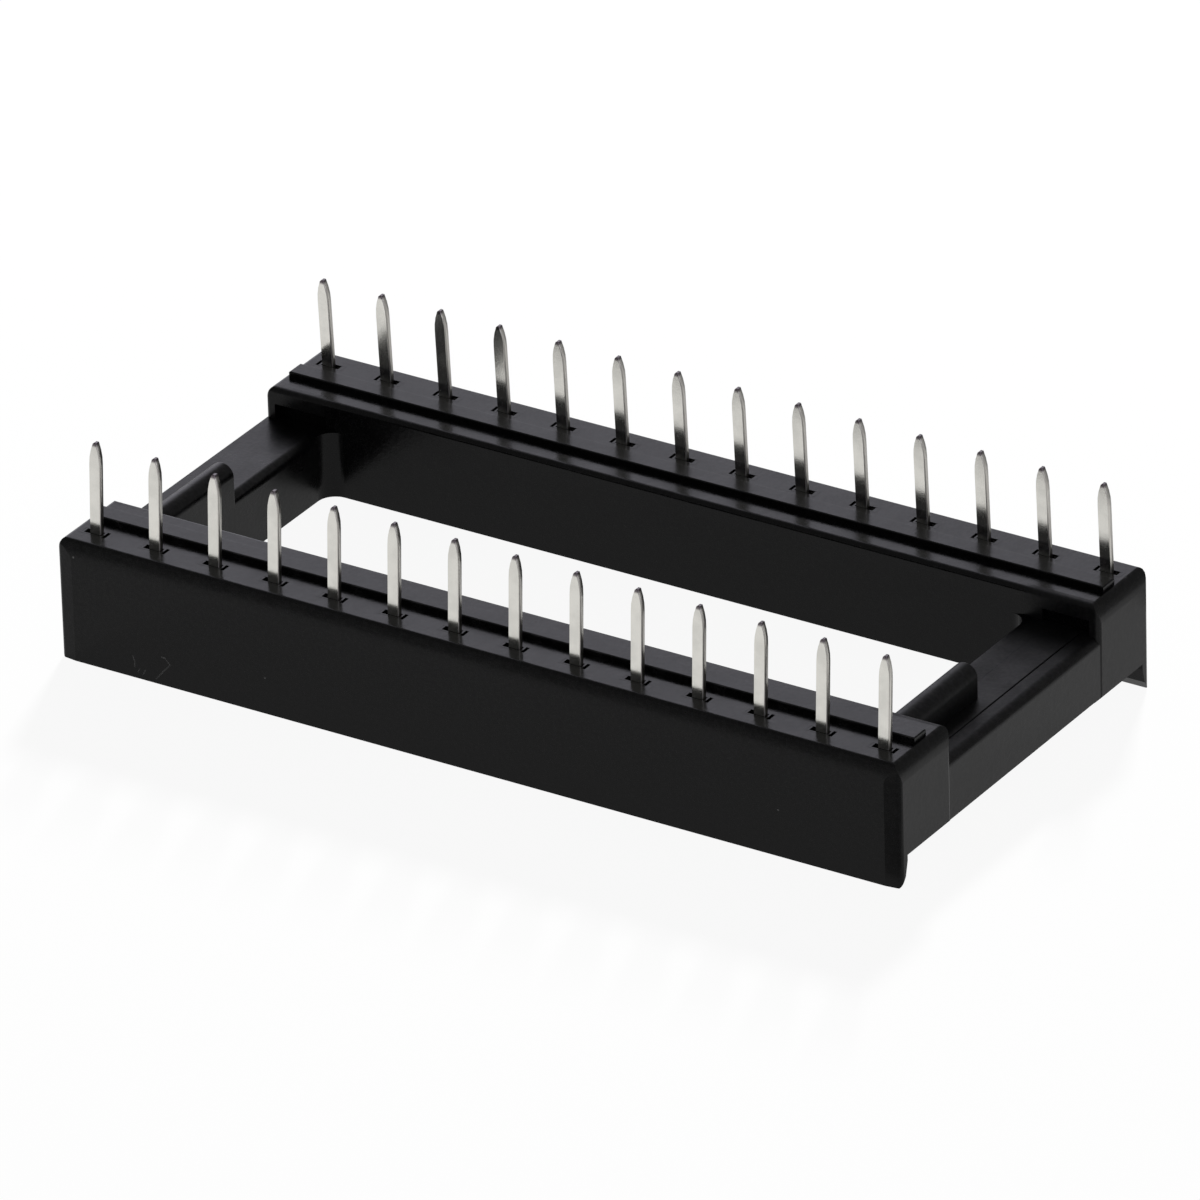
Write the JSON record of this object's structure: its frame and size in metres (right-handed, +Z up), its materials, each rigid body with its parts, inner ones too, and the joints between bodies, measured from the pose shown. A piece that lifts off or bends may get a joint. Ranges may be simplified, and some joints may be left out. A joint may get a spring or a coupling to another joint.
{
  "type": "IC socket",
  "caption": "Open-frame socket for a wide dual in-line chip package, with dual-leaf spring contacts and straight solder tails.",
  "frame": {"origin": "middle of the plane that the socket lies on with its solder tails up", "axes": "+X along the rows of contacts, +Y across the rows, +Z up along the solder tails"},
  "size_m": [0.0354, 0.0172, 0.0084],
  "materials": {
    "housing_plastic": "semi-gloss black moulded plastic with glass fibre",
    "contact_metal": "bright tin plate over copper alloy, silver in colour"
  },
  "bodies": {
    "root": {"housing": "housing_plastic", "contact_01": "contact_metal", "contact_02": "contact_metal", "contact_03": "contact_metal", "contact_04": "contact_metal", "contact_05": "contact_metal", "contact_06": "contact_metal", "contact_07": "contact_metal", "contact_08": "contact_metal", "contact_09": "contact_metal", "contact_10": "contact_metal", "contact_11": "contact_metal", "contact_12": "contact_metal", "contact_13": "contact_metal", "contact_14": "contact_metal", "contact_15": "contact_metal", "contact_16": "contact_metal", "contact_17": "contact_metal", "contact_18": "contact_metal", "contact_19": "contact_metal", "contact_20": "contact_metal", "contact_21": "contact_metal", "contact_22": "contact_metal", "contact_23": "contact_metal", "contact_24": "contact_metal", "contact_25": "contact_metal", "contact_26": "contact_metal", "contact_27": "contact_metal", "contact_28": "contact_metal"}
  },
  "joints": []
}
